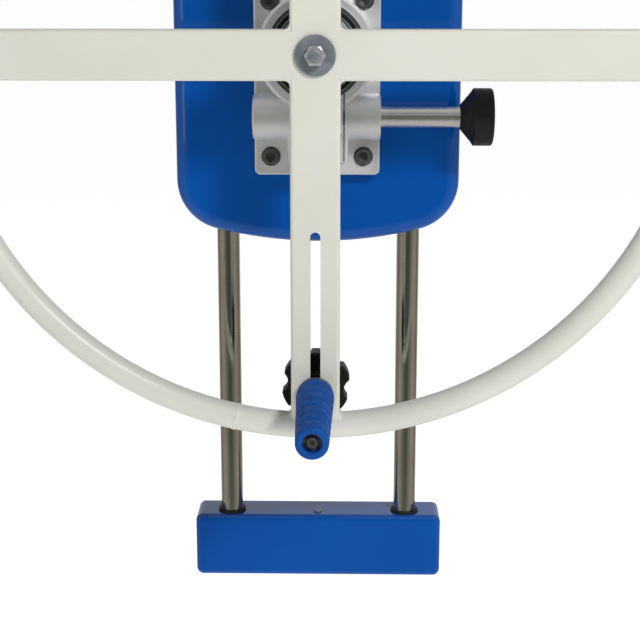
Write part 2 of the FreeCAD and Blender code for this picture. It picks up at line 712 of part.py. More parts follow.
def hub_drum():
    """Journal for both bearings and the brake band, with a neck and a flange for the spokes."""
    drum = join([
        rod_y(0, REAR_SHOULDER_Y, HUB_REAR_Y, 0, HUB_SHOULDER_R),
        rod_y(0, HUB_NECK_Y, REAR_SHOULDER_Y, 0, BEARING_BORE_R),
        rod_y(0, HUB_FLANGE_Y, HUB_NECK_Y, 0, HUB_NECK_R),
        rod_y(0, SPOKE_BACK_Y, HUB_FLANGE_Y, 0, HUB_FLANGE_R),
    ])
    tools = [
        rod_y(0, HUB_HOLLOW_FRONT_Y, HUB_REAR_Y + 1, 0, HUB_HOLLOW_R),
        rod_y(0, SPOKE_BACK_Y - 1, HUB_REAR_Y, 0, BOLT_R + FIT),
        ring_y(0, FRONT_BEARING_Y - 1.8, FRONT_BEARING_Y, 0, BEARING_BORE_R + 1, BEARING_BORE_R - 1.6),
    ]
    return drum.cut(tools)


def centre_bolt():
    head = hexagon_y(0, HUB_HOLLOW_FRONT_Y, HUB_HOLLOW_FRONT_Y + 7.5, 0, 19)
    tip_y = SPOKE_FRONT_Y - WASHER_T - NUT_T - 2
    shank = rod_y(0, tip_y, HUB_HOLLOW_FRONT_Y, 0, BOLT_R)
    shank = shank.makeChamfer(1, edges_at(shank, lambda p: p.y < tip_y + 0.01))
    return join([head, shank])


def centre_nut():
    y1 = SPOKE_FRONT_Y - WASHER_T
    y0 = y1 - NUT_T
    nut = hexagon_y(0, y0, y1, 0, NUT_FLATS)
    nut = nut.common(cone_y(0, y0, y1, 0, NUT_FLATS / 2, NUT_FLATS / 2 + NUT_T * 1.7))
    return nut.cut(rod_y(0, y0 - 1, y1 + 1, 0, BOLT_R + 0.02))


def centre_washer():
    y1 = SPOKE_FRONT_Y
    washer = ring_y(0, y1 - WASHER_T, y1, 0, WASHER_R, BOLT_R + FIT)
    return washer.makeChamfer(0.5, edges_at(washer, lambda p: p.y < y1 - WASHER_T + 0.01)[:1])


def spoke_bar(inset):
    """Solid bar along X with rounded long edges, the spoke's outside for inset 0."""
    reach = WHEEL_R - RIM_TUBE_R + 8
    bar = box(-reach, reach, SPOKE_FRONT_Y + inset, SPOKE_BACK_Y - inset,
              -HALF_SPOKE + inset, HALF_SPOKE - inset)
    return soften(bar, SPOKE_EDGE_R - inset, edges_along(bar, X_AXIS))


def rim_body(r):
    return Part.makeTorus(WHEEL_R, r, vec(0, RIM_Y, 0), Y_AXIS)


def horizontal_spoke():
    tube = spoke_bar(0).cut(spoke_bar(TUBE_WALL))
    bolt_hole = rod_y(0, -200, -100, 0, BOLT_R + FIT)
    return tube.cut([bolt_hole, rim_body(RIM_TUBE_R)])


def inner_corner_welds():
    """Ground welds with a hollow radius in the two corners under the horizontal spoke."""
    welds = []
    for side in SIDES:
        x0, x1 = sorted((side * (HALF_SPOKE - 1), side * (HALF_SPOKE + WELD_R)))
        weld = box(x0, x1, SPOKE_FRONT_Y + 1.5, SPOKE_BACK_Y - 1.5, -HALF_SPOKE - WELD_R, -HALF_SPOKE + 1)
        hollow = rod_y(side * (HALF_SPOKE + WELD_R), -200, -100, -HALF_SPOKE - WELD_R, WELD_R)
        welds.append(weld.cut(hollow))
    return welds


def vertical_spoke(slotted):
    """Spoke from the cross down to the rim, shaped at both ends to what it is welded to."""
    outside = spoke_bar(0)
    inside = spoke_bar(TUBE_WALL)
    for bar in (outside, inside):
        bar.rotate(vec(0, 0, 0), Y_AXIS, 90)
    lower_half = box(-60, 60, -200, -100, -500, -HALF_SPOKE + SPOKE_EDGE_R)
    bar = join([outside.common(lower_half)] + inner_corner_welds())
    if slotted:
        liner = stadium_y(0, SPOKE_FRONT_Y + 1, SPOKE_BACK_Y - 1, SLOT_BOTTOM - TUBE_WALL,
                          SLOT_TOP + TUBE_WALL, SLOT_WIDTH + 2 * TUBE_WALL)
        bar = join([bar.cut(inside), liner])
        bar = bar.cut(stadium_y(0, -200, -100, SLOT_BOTTOM, SLOT_TOP, SLOT_WIDTH))
    else:
        bar = bar.cut(inside)
    return bar.cut([spoke_bar(0), rim_body(RIM_TUBE_R)])


def make_wheel():
    rim = rim_body(RIM_TUBE_R).cut(rim_body(RIM_TUBE_R - TUBE_WALL))
    upper = vertical_spoke(False)
    upper.rotate(vec(0, 0, 0), Y_AXIS, 180)
    sleeve = ring_y(0, SPOKE_FRONT_Y + TUBE_WALL, SPOKE_BACK_Y - TUBE_WALL, 0, 10, BOLT_R + FIT)
    hub_ring = snap_ring(FRONT_BEARING_Y - 1.7, 1.6, 42.0, BEARING_BORE_R - 1.4, 24, 1.7, 1)
    save("hub_drum", at_hub(hub_drum()))
    save("hub_snap_ring", at_hub(hub_ring))
    save("centre_bolt", at_hub(centre_bolt()))
    save("centre_nut", at_hub(centre_nut()))
    save("centre_washer", at_hub(centre_washer()))
    save("centre_sleeve", at_hub(sleeve))
    save("horizontal_spoke", at_hub(horizontal_spoke()))
    save("upper_spoke", at_hub(upper))
    save("lower_spoke", at_hub(vertical_spoke(True)))
    save("wheel_rim", at_hub(rim))


# ---------------------------------------------------------------- handle and its clamp
SPINDLE_R = 6.0
SPINDLE_THREAD_R = 4.0
FLANGE_R = 18.6
FLANGE_T = 4.0
FLANGE_BACK_Y = SPOKE_FRONT_Y - 0.3
GRIP_BACK_Y = FLANGE_BACK_Y - FLANGE_T - 0.7
GRIP_FRONT_Y = GRIP_BACK_Y - GRIP_LENGTH
GRIP_RIBS = 7
RIB_HEIGHT = 0.9
SLEEVE_R = 13.0
RECESS_R = 9.4
RECESS_DEPTH = 10.0
SPINDLE_FRONT_Y = GRIP_FRONT_Y + RECESS_DEPTH - 0.5
END_WASHER_T = 1.6
SLOT_BLOCK_LENGTH = 20.0
CLAMP_WASHER_Y = (SPOKE_BACK_Y + 0.2, SPOKE_BACK_Y + 2.7)
KNOB_FRONT_Y = CLAMP_WASHER_Y[1] + 0.2
STAR_HEAD_Y = (-150.0, -128.0)
STAR_NOTCH_R = 12.5
STAR_NOTCH_CENTRE_R = 42.0
STAR_NOTCH_TURN = -6.0
INSERT_R = 8.0
INSERT_BACK_Y = -136.0


def at_handle(shape):
    """Move a shape drawn about the Y axis to the handle's place in the slot."""
    moved = shape.copy()
    moved.translate(vec(0, 0, HANDLE_Z))
    return moved


def slot_block():
    """Slides in the slot, round below and flat on top, and keeps the spindle square to the spoke."""
    bottom = SLOT_BOTTOM + HANDLE_DROP + GAP
    top = bottom + SLOT_BLOCK_LENGTH
    block = stadium_y(0, SPOKE_FRONT_Y + 0.2, SPOKE_BACK_Y - 0.2, bottom, top + 10, SLOT_WIDTH - GAP)
    return block.cut([box(-10, 10, -200, -100, top, top + 20), rod_y(0, -200, -100, 0, SPINDLE_THREAD_R)])


def handle_spindle():
    thread = rod_y(0, FLANGE_BACK_Y - FLANGE_T, INSERT_BACK_Y - 1, 0, SPINDLE_THREAD_R - 0.02)
    stem = rod_y(0, SPINDLE_FRONT_Y, FLANGE_BACK_Y - FLANGE_T, 0, SPINDLE_R)
    return join([thread, stem]).cut(rod_y(0, SPINDLE_FRONT_Y - 1, SPINDLE_FRONT_Y + 16, 0, 3))


def handle_flange():
    flange = ring_y(0, FLANGE_BACK_Y - FLANGE_T, FLANGE_BACK_Y, 0, FLANGE_R, SPINDLE_THREAD_R + 0.02)
    return soften(flange, 1.2, edges_at(flange, lambda p: p.y < FLANGE_BACK_Y - FLANGE_T + 0.01)[:1])


def grip_radius(share):
    """Grip radius at a share of its length, 0 at the spoke and 1 at the free end."""
    taper = GRIP_BASE_R + (GRIP_END_R - GRIP_BASE_R) * share
    wave = 0.5 - 0.5 * math.cos(2 * math.pi * GRIP_RIBS * share)
    return taper - RIB_HEIGHT * wave


def handle_grip():
    """Tapered grip with rounded ring ribs and a recess in its end for the screw."""
    rounding = 3.0
    count = GRIP_RIBS * 6
    length = GRIP_LENGTH - rounding
    points = [vec(grip_radius(i / count), GRIP_BACK_Y - length * i / count, 0) for i in range(count + 1)]
    ribs = Part.BSplineCurve()
    ribs.interpolate(points)
    corner = [vec(GRIP_END_R, GRIP_FRONT_Y + rounding, 0),
              vec(GRIP_END_R - rounding * 0.293, GRIP_FRONT_Y + rounding * 0.293, 0),
              vec(GRIP_END_R - rounding, GRIP_FRONT_Y, 0)]
    inside = [corner[2], vec(RECESS_R, GRIP_FRONT_Y, 0), vec(RECESS_R, GRIP_FRONT_Y + RECESS_DEPTH, 0),
              vec(SLEEVE_R, GRIP_FRONT_Y + RECESS_DEPTH, 0), vec(SLEEVE_R, GRIP_BACK_Y, 0), points[0]]
    outline = Part.Wire([ribs.toShape(), Part.Arc(*corner).toShape()] + Part.makePolygon(inside).Edges)
    return Part.Face(outline).revolve(vec(0, 0, 0), Y_AXIS, 360)


def grip_sleeve():
    return ring_y(0, GRIP_FRONT_Y + RECESS_DEPTH, GRIP_BACK_Y, 0, SLEEVE_R, SPINDLE_R + FIT)


def grip_end_washer():
    return ring_y(0, SPINDLE_FRONT_Y - END_WASHER_T, SPINDLE_FRONT_Y, 0, RECESS_R - 0.8, 3)


def clamp_washer():
    return ring_y(0, *CLAMP_WASHER_Y, 0, 12, SPINDLE_THREAD_R + FIT)


def star_knob():
    """Round knob with six finger notches, a neck towards the spoke and a pocket for its insert."""
    head = rod_y(0, *STAR_HEAD_Y, 0, STAR_KNOB_R)
    notches = []
    for index in range(LOBES):
        angle = math.radians(STAR_NOTCH_TURN + 360 * index / LOBES)
        x = STAR_NOTCH_CENTRE_R * math.cos(angle)
        z = STAR_NOTCH_CENTRE_R * math.sin(angle)
        notches.append(rod_y(x, STAR_HEAD_Y[0] - 1, STAR_HEAD_Y[1] + 1, z, STAR_NOTCH_R))
    head = head.cut(notches)
    head = soften(head, 2.5, edges_along(head, Y_AXIS))
    head = soften(head, 2, edges_at(head, lambda p: p.y > STAR_HEAD_Y[1] - 0.01 or p.y < STAR_HEAD_Y[0] + 0.01))
    neck = cone_y(0, KNOB_FRONT_Y, STAR_HEAD_Y[0], 0, 14, 17)
    pocket = rod_y(0, KNOB_FRONT_Y - 1, INSERT_BACK_Y, 0, INSERT_R)
    end_room = rod_y(0, INSERT_BACK_Y - 1, INSERT_BACK_Y + 4, 0, SPINDLE_THREAD_R + 0.2)
    return join([head, neck]).cut([pocket, end_room])


def make_handle():
    insert = ring_y(0, KNOB_FRONT_Y, INSERT_BACK_Y, 0, INSERT_R, SPINDLE_THREAD_R + FIT)
    end_screw = socket_screw(0, 0, SPINDLE_FRONT_Y - END_WASHER_T, SPINDLE_FRONT_Y + 12, 2.98, 5, 5)
    save("slot_block", at_handle(slot_block()))
    save("handle_spindle", at_handle(handle_spindle()))
    save("handle_flange", at_handle(handle_flange()))
    save("handle_grip", at_handle(handle_grip()))
    save("grip_sleeve", at_handle(grip_sleeve()))
    save("grip_end_washer", at_handle(grip_end_washer()))
    save("grip_end_screw", at_handle(end_screw))
    save("clamp_washer", at_handle(clamp_washer()))
    save("star_knob", at_handle(star_knob()))
    save("star_knob_insert", at_handle(insert))


make_wall_frame()
make_carriage()
make_housing()
make_height_lock()
make_wheel()
make_handle()
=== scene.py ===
"""Looks of the wall-mounted shoulder exercise wheel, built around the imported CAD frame.

Metres, +Z up, the wall is the plane Y = 0 and the front of the object faces -Y.
"""
import json
import math

import bmesh
import bpy
from mathutils import Matrix, Vector


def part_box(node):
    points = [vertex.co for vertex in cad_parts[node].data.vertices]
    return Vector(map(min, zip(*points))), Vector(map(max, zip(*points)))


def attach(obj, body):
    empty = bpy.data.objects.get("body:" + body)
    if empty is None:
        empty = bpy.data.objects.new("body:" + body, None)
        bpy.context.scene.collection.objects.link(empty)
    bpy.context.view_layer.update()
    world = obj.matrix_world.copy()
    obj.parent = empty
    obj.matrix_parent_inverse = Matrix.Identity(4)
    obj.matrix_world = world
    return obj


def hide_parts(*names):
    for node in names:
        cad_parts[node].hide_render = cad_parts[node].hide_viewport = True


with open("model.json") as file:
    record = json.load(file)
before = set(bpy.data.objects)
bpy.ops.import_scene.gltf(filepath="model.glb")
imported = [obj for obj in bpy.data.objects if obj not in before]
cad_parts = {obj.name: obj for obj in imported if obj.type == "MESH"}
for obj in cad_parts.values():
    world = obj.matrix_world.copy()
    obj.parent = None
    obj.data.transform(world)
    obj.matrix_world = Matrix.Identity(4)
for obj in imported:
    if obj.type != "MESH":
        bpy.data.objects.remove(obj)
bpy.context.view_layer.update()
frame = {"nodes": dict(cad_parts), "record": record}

SCENE = bpy.context.scene
NODES = frame["nodes"]
TAU = 2 * math.pi


# ---------------------------------------------------------------- places read from the frame
def middle(node):
    low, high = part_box(node)
    return (low + high) / 2


HUB = Vector((0, 0, middle("centre_washer").z))
SPOKE_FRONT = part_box("horizontal_spoke")[0].y
SPOKE_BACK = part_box("horizontal_spoke")[1].y
RIM_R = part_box("wheel_rim")[1].x
TUBE_R = (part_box("wheel_rim")[1].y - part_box("wheel_rim")[0].y) / 2
RIM_LINE_R = RIM_R - TUBE_R
RIM_Y = middle("wheel_rim").y


# ---------------------------------------------------------------- material helpers
def new_material(name, color, roughness, metallic=0.0, **sockets):
    """A Principled material. Extra sockets are given by name with _ for a space."""
    material = bpy.data.materials.new(name)
    material.use_nodes = True
    shader = material.node_tree.nodes["Principled BSDF"]
    shader.inputs["Base Color"].default_value = (*color, 1)
    shader.inputs["Roughness"].default_value = roughness
    shader.inputs["Metallic"].default_value = metallic
    for key, value in sockets.items():
        shader.inputs[key.replace("_", " ")].default_value = value
    return material


def add_node(material, kind, **values):
    node = material.node_tree.nodes.new(kind)
    for key, value in values.items():
        node.inputs[key.replace("_", " ")].default_value = value
    return node


def link(material, source, target):
    material.node_tree.links.new(source, target)


def shader_of(material):
    return material.node_tree.nodes["Principled BSDF"]


def object_coords(material, stretch=(1, 1, 1)):
    """Object coordinates, stretched by a scale along each axis."""
    coords = add_node(material, "ShaderNodeTexCoord")
    mapping = add_node(material, "ShaderNodeMapping", Scale=stretch)
    link(material, coords.outputs["Object"], mapping.inputs["Vector"])
    return mapping.outputs["Vector"]


def noise_of(material, scale, detail=3.0, stretch=(1, 1, 1)):
    noise = add_node(material, "ShaderNodeTexNoise", Scale=scale, Detail=detail)
    link(material, object_coords(material, stretch), noise.inputs["Vector"])
    return noise.outputs["Fac"]


def remap(material, value, low, high, to_low, to_high):
    node = add_node(material, "ShaderNodeMapRange")
    for index, number in enumerate((low, high, to_low, to_high)):
        node.inputs[index + 1].default_value = number
    link(material, value, node.inputs[0])
    return node.outputs[0]


def mix_colors(material, factor, first, second):
    """Mix of two colours, each a tuple or a socket, by a factor socket."""
    node = material.node_tree.nodes.new("ShaderNodeMix")
    node.data_type = "RGBA"
    link(material, factor, node.inputs[0])
    for socket, value in ((node.inputs[6], first), (node.inputs[7], second)):
        if isinstance(value, tuple):
            socket.default_value = (*value, 1)
        else:
            link(material, value, socket)
    return node.outputs[2]


def tint_by(material, value, first, second):
    """Colour that drifts between two tints with a noise value."""
    return mix_colors(material, remap(material, value, 0.3, 0.7, 0, 1), first, second)


def set_base(material, color):
    link(material, color, shader_of(material).inputs["Base Color"])


def vary_roughness(material, value, low, high):
    link(material, remap(material, value, 0.35, 0.65, low, high), shader_of(material).inputs["Roughness"])


def bump_from(material, layers):
    """Chain of bumps, each (value socket, strength, height in metres)."""
    normal = None
    for value, strength, height in layers:
        bump = add_node(material, "ShaderNodeBump", Strength=strength, Distance=height)
        link(material, value, bump.inputs["Height"])
        if normal is not None:
            link(material, normal, bump.inputs["Normal"])
        normal = bump.outputs["Normal"]
    link(material, normal, shader_of(material).inputs["Normal"])


def edge_mask(material, radius):
    """Near 1 on sharp convex edges and corners, 0 on flats, by comparing two normals."""
    bevel = add_node(material, "ShaderNodeBevel", Radius=radius)
    geometry = add_node(material, "ShaderNodeNewGeometry")
    dot = material.node_tree.nodes.new("ShaderNodeVectorMath")
    dot.operation = "DOT_PRODUCT"
    link(material, bevel.outputs["Normal"], dot.inputs[0])
    link(material, geometry.outputs["Normal"], dot.inputs[1])
    return remap(material, dot.outputs["Value"], 0.99, 0.85, 0, 1)


# ---------------------------------------------------------------- materials
def make_blue_gloss():
    """Glossy moulded shell: deep blue with a clear, slightly wavy top layer."""
    material = new_material("blue_gloss", (0.0, 0.075, 0.37), 0.4, Coat_Weight=1.0, Coat_Roughness=0.05)
    shader_of(material).inputs["Specular IOR Level"].default_value = 0.0
    cloud = remap(material, noise_of(material, 5, 4), 0.35, 0.65, 0, 1)
    set_base(material, mix_colors(material, cloud, (0.0, 0.063, 0.306), (0.0, 0.075, 0.35)))
    vary_roughness(material, noise_of(material, 40, 5), 0.26, 0.4)
    bump_from(material, [(noise_of(material, 9, 0), 0.1, 0.002)])
    return material


def make_cream_paint():
    """Satin powder coat with fine orange peel and a faint warm variation."""
    material = new_material("cream_paint", (0.7, 0.7, 0.62), 0.43, Coat_Weight=0.2, Coat_Roughness=0.25)
    shader_of(material).inputs["Specular IOR Level"].default_value = 0.3
    cloud = noise_of(material, 9, 5)
    set_base(material, tint_by(material, cloud, (0.615, 0.612, 0.54), (0.655, 0.652, 0.585)))
    vary_roughness(material, noise_of(material, 20, 2), 0.38, 0.48)
    peel = (noise_of(material, 420, 2), 0.04, 0.0003)
    waves = (noise_of(material, 30, 2), 0.05, 0.001)
    bump_from(material, [peel, waves])
    return material


def make_chrome():
    """Polished tube with fine lengthwise rubbing marks and a few dull patches."""
    material = new_material("chrome_tube", (0.58, 0.55, 0.5), 0.1, 1.0)
    streaks = noise_of(material, 60, 6, (1, 1, 0.02))
    patches = noise_of(material, 18, 4)
    dullness = remap(material, patches, 0.35, 0.7, 0, 1)
    set_base(material, mix_colors(material, dullness, (0.6, 0.57, 0.52), (0.5, 0.47, 0.42)))
    vary_roughness(material, patches, 0.06, 0.16)
    bump_from(material, [(streaks, 0.08, 0.0003)])
    return material


def make_aluminium():
    """Machined casting: satin, with fine tool marks and brighter worn edges."""
    material = new_material("aluminium_cast", (0.8, 0.8, 0.8), 0.42, 0.8)
    marks = noise_of(material, 260, 5, (0.15, 1, 1))
    cloud = noise_of(material, 22, 5)
    body = tint_by(material, cloud, (0.8, 0.8, 0.8), (0.94, 0.94, 0.94))
    edges = edge_mask(material, 0.0012)
    set_base(material, mix_colors(material, edges, body, (0.97, 0.97, 0.97)))
    vary_roughness(material, cloud, 0.38, 0.5)
    bump_from(material, [(marks, 0.12, 0.0002), (noise_of(material, 700, 2), 0.06, 0.0001)])
    return material


def make_plain_metal(name, color, roughness, metallic=1.0, worn=0.3):
    """Turned or plated metal with fine grain, slightly uneven colour and edges rubbed brighter."""
    material = new_material(name, color, roughness, metallic)
    cloud = noise_of(material, 45, 4)
    dark = tuple(channel * 0.8 for channel in color)
    light = tuple(min(1.0, channel * 1.12) for channel in color)
    bright = tuple(min(1.0, channel + worn) for channel in color)
    tint = tint_by(material, cloud, dark, light)
    set_base(material, mix_colors(material, edge_mask(material, 0.0006), tint, bright))
    vary_roughness(material, noise_of(material, 90, 4), roughness * 0.8, roughness * 1.3)
    bump_from(material, [(noise_of(material, 300, 4), 0.1, 0.0001)])
    return material


def make_rod_steel():
    """Turned steel rod with faint rings along its length."""
    material = new_material("rod_steel", (0.76, 0.75, 0.73), 0.24, 0.9)
    rings = noise_of(material, 120, 2, (1, 0.02, 0.02))
    set_base(material, tint_by(material, rings, (0.72, 0.71, 0.69), (0.8, 0.79, 0.77)))
    return material


def make_plastic(name, color, roughness, grain, strength, specular=0.5):
    """Moulded plastic with an even fine grain."""
    material = new_material(name, color, roughness, Specular_IOR_Level=specular)
    cloud = noise_of(material, 30, 4)
    dark = tuple(channel * 0.85 for channel in color)
    light = tuple(channel * 1.15 for channel in color)
    set_base(material, tint_by(material, cloud, dark, light))
    vary_roughness(material, noise_of(material, 120, 4), roughness * 0.85, min(1, roughness * 1.2))
    bump_from(material, [(noise_of(material, grain, 2), strength, 0.0002)])
    return material


def make_materials():
    return {
        "blue_gloss": make_blue_gloss(),
        "cream_paint": make_cream_paint(),
        "chrome_tube": make_chrome(),
        "aluminium_cast": make_aluminium(),
        "black_plastic": make_plastic("black_plastic", (0.012, 0.012, 0.012), 0.5, 1300, 0.2, 0.2),
        "blue_grip": make_plastic("blue_grip", (0.0, 0.066, 0.31), 0.6, 900, 0.25, 0.2),
        "steel_zinc": make_plain_metal("steel_zinc", (0.26, 0.3, 0.335), 0.42, metallic=0.55),
        "black_steel": make_plain_metal("black_steel", (0.1, 0.1, 0.096), 0.4, metallic=0.6, worn=0.2),
        "bearing_steel": make_plain_metal("bearing_steel", (0.72, 0.73, 0.74), 0.3, metallic=0.75),
        "rod_steel": make_rod_steel(),
        "brass_parts": make_plain_metal("brass_parts", (0.62, 0.46, 0.2), 0.3),
        "white_polymer": make_plastic("white_polymer", (0.72, 0.72, 0.69), 0.45, 600, 0.1),
        "brake_fibre": make_plastic("brake_fibre", (0.09, 0.07, 0.055), 0.85, 500, 0.6),
    }


def dress_cad_nodes(materials):
    """Every CAD node takes the material of its slot in the record."""
    slots = {row["node"]: row["material_slot"] for row in frame["record"]["subparts"]}
    for name, node in NODES.items():
        node.data.materials.clear()
        node.data.materials.append(materials[slots[name]])


# ---------------------------------------------------------------- detailed pieces
def add_piece(name, bm, body, slot, replaced=(), sharp_angle=35):
    """Object from a bmesh that rides on a body and has a slot's material."""
    bmesh.ops.recalc_face_normals(bm, faces=bm.faces)
    mesh = bpy.data.meshes.new(name)
    bm.to_mesh(mesh)
    bm.free()
    mesh.shade_smooth()
    mesh.set_sharp_from_angle(angle=math.radians(sharp_angle))
    mesh.materials.append(MATERIALS[slot])
    piece = bpy.data.objects.new(name, mesh)
    SCENE.collection.objects.link(piece)
    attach(piece, body)
    if replaced:
        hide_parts(*replaced)
    return piece


def loft(bm, rings, closed=False):
    """Quads between rings that have the same number of points."""
    loops = [[bm.verts.new(point) for point in ring] for ring in rings]
    pairs = list(zip(loops, loops[1:]))
    if closed:
        pairs.append((loops[-1], loops[0]))
    for first, second in pairs:
        for index in range(len(first)):
            after = (index + 1) % len(first)
            bm.faces.new((first[index], first[after], second[after], second[index]))
    return loops


def cap_ends(bm, loops):
    bm.faces.new(loops[0])
    bm.faces.new(loops[-1])


def ring_about_y(centre, y, radius_at, count):
    """Points round an axis along Y. radius_at gives the radius for an angle."""
    points = []
    for index in range(count):
        angle = TAU * index / count
        x = centre.x + radius_at(angle) * math.cos(angle)
        z = centre.z + radius_at(angle) * math.sin(angle)
        points.append(Vector((x, y, z)))
    return points


def steady(radius):
    return lambda angle: radius


# Grip: seven soft ribs with narrow valleys, a rounded end and a recess for the end screw
GRIP_RIBS = 7
GRIP_VALLEY = 0.0014
GRIP_END_R = 0.016
GRIP_EDGE_R = 0.003
GRIP_RECESS_R = 0.0094
GRIP_RECESS_DEPTH = 0.01


def make_grip():
    low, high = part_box("handle_grip")
    centre = middle("handle_grip")
    base_r = (high.x - low.x) / 2
    bore_r = (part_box("grip_sleeve")[1].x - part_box("grip_sleeve")[0].x) / 2
    straight = high.y - low.y - GRIP_EDGE_R
    steps = GRIP_RIBS * 12
    profile = [(high.y, bore_r), (high.y, base_r - 0.002)]
    for index in range(1, steps + 1):
        share = index / steps
        taper = base_r + (GRIP_END_R - base_r) * share
        rib = abs(math.sin(math.pi * GRIP_RIBS * share)) ** 0.55
        depth = GRIP_VALLEY * (0.2 if index == steps else 1)
        profile.append((high.y - straight * share, taper - depth * (1 - rib)))
    for index in range(1, 7):
        angle = math.pi / 2 * index / 6
        radius = GRIP_END_R - GRIP_EDGE_R * (1 - math.cos(angle))
        profile.append((low.y + GRIP_EDGE_R * (1 - math.sin(angle)), radius))
    profile.append((low.y, GRIP_RECESS_R + 0.0008))
    profile.append((low.y + 0.0008, GRIP_RECESS_R))
    profile.append((low.y + GRIP_RECESS_DEPTH, GRIP_RECESS_R))
    profile.append((low.y + GRIP_RECESS_DEPTH, bore_r))
    bm = bmesh.new()
    loft(bm, [ring_about_y(centre, y, steady(radius), 96) for y, radius in profile], closed=True)
    add_piece("ribbed_grip", bm, "grip", "blue_grip", ["handle_grip"], sharp_angle=50)


# Black seal between the rings of the front bearing, clear of both
SEAL_OUTER_R = 0.047
SEAL_INNER_R = 0.043
SEAL_INSET = 0.0001
SEAL_T = 0.0006


def make_bearing_seal():
    centre = middle("bearing_outer_rings")
    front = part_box("bearing_outer_rings")[0].y + SEAL_INSET
    back = front + SEAL_T
    profile = [(front, SEAL_OUTER_R), (front, SEAL_INNER_R), (back, SEAL_INNER_R), (back, SEAL_OUTER_R)]
    bm = bmesh.new()
    loft(bm, [ring_about_y(centre, y, steady(radius), 96) for y, radius in profile], closed=True)
    add_piece("bearing_seal", bm, "carriage", "black_plastic", sharp_angle=40)


# Socket screws that hold the bearing housing: knurled head, rounded rim and hexagon socket
HEAD_R = 0.009
HEAD_FACE_R = 0.0071
HEAD_T = 0.012
SHANK_R = 0.0059
SOCKET_FLATS = 0.0099
SOCKET_DEPTH = 0.0054
KNURL_TEETH = 36
KNURL_DEPTH = 0.0004


def knurl(angle):
    return HEAD_R - KNURL_DEPTH * (0.5 + 0.5 * math.cos(KNURL_TEETH * angle))


def hexagon(flats, extra=0.0):
    """Radius function of a hexagon, pushed out by a little for its chamfer."""
    def radius_at(angle):
        turn = (angle + math.pi / 6) % (math.pi / 3) - math.pi / 6
        return flats / 2 / math.cos(turn) + extra
    return radius_at


def make_housing_screws():
    low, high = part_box("housing_screws")
    front = low.y
    bm = bmesh.new()
    count = KNURL_TEETH * 4
    for x in (low.x + HEAD_R, high.x - HEAD_R):
        for z in (low.z + HEAD_R, high.z - HEAD_R):
            centre = Vector((x, 0, z))
            steps = [
                (high.y, steady(SHANK_R)),
                (front + HEAD_T, steady(SHANK_R)),
                (front + HEAD_T, steady(HEAD_R - KNURL_DEPTH)),
                (front + HEAD_T - 0.0004, knurl),
                (front + 0.0022, knurl),
                (front + 0.0015, steady(HEAD_R - 0.0004)),
                (front + 0.0004, steady(HEAD_FACE_R + 0.0005)),
                (front, steady(HEAD_FACE_R)),
                (front, hexagon(SOCKET_FLATS, 0.0004)),
                (front + 0.0004, hexagon(SOCKET_FLATS)),
                (front + SOCKET_DEPTH, hexagon(SOCKET_FLATS)),
                (front + SOCKET_DEPTH + 0.0012, steady(0.0006)),
            ]
            loops = loft(bm, [ring_about_y(centre, y, radius_at, count) for y, radius_at in steps])
            cap_ends(bm, loops)
    add_piece("knurled_housing_screws", bm, "carriage", "black_steel", ["housing_screws"])


# Centre bolt: hexagon head inside the hub and a real thread at the front
BOLT_R = 0.006
BOLT_HEAD_T = 0.0075
BOLT_FLATS = 0.019
THREAD_PITCH = 0.00175
THREAD_DEPTH = 0.0008
THREAD_LENGTH = 0.026


def make_centre_bolt():
    low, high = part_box("centre_bolt")
    centre = middle("centre_bolt")
    head_y = high.y - BOLT_HEAD_T
    count = 60
    rings = [
        ring_about_y(centre, high.y, hexagon(BOLT_FLATS), count),
        ring_about_y(centre, head_y, hexagon(BOLT_FLATS), count),
        ring_about_y(centre, head_y, steady(BOLT_R), count),
        ring_about_y(centre, low.y + THREAD_LENGTH + 0.001, steady(BOLT_R), count),
    ]
    steps = int(THREAD_LENGTH / THREAD_PITCH * 8)
    for index in range(steps + 1):
        y = low.y + THREAD_LENGTH * (1 - index / steps)

        def thread(angle, y=y):
            phase = (y / THREAD_PITCH + angle / TAU) % 1
            cut = THREAD_DEPTH * (1 - abs(2 * phase - 1))
            tip = max(0, 0.0012 - (y - low.y))
            return BOLT_R - max(cut, tip)

        rings.append(ring_about_y(centre, y, thread, count))
    bm = bmesh.new()
    loops = loft(bm, rings)
    cap_ends(bm, loops)
    add_piece("threaded_centre_bolt", bm, "wheel", "steel_zinc", ["centre_bolt"])


# Welds: a fillet round each spoke's foot, and the rim's own ground joint left of the bottom
WELD_LEG = 0.0055
WELD_LEG_FRONT = 0.0022
SPOKE_CORNER_R = 0.004
RIM_JOINT_ANGLE = 12.5


def spoke_outline(half_width, half_depth, corner_r):
    """(across, along Y, outward direction) round a spoke's cross-section."""
    rows = []
    for quarter in range(4):
        start = quarter * math.pi / 2
        sign_a = 1 if quarter in (0, 3) else -1
        sign_b = 1 if quarter in (0, 1) else -1
        corner = Vector((sign_a * (half_width - corner_r), sign_b * (half_depth - corner_r)))
        for step in range(9):
            angle = start + math.pi / 2 * step / 8
            outward = Vector((math.cos(angle), math.sin(angle)))
            rows.append((corner + outward * corner_r, outward))
    dense = []
    for index, (point, outward) in enumerate(rows):
        after, outward_after = rows[(index + 1) % len(rows)]
        pieces = max(1, int((after - point).length / 0.0006))
        for step in range(pieces):
            share = step / pieces
            mixed = outward.lerp(outward_after, share).normalized()
            dense.append((point.lerp(after, share), mixed))
    return dense


def rim_surface_depth(across, along):
    """Distance from the hub's centre line, along a spoke, to the inner side of the rim tube."""
    along = min(abs(along), 0.97 * TUBE_R)
    reach = RIM_LINE_R - math.sqrt(TUBE_R ** 2 - along ** 2)
    return math.sqrt(reach ** 2 - across ** 2)


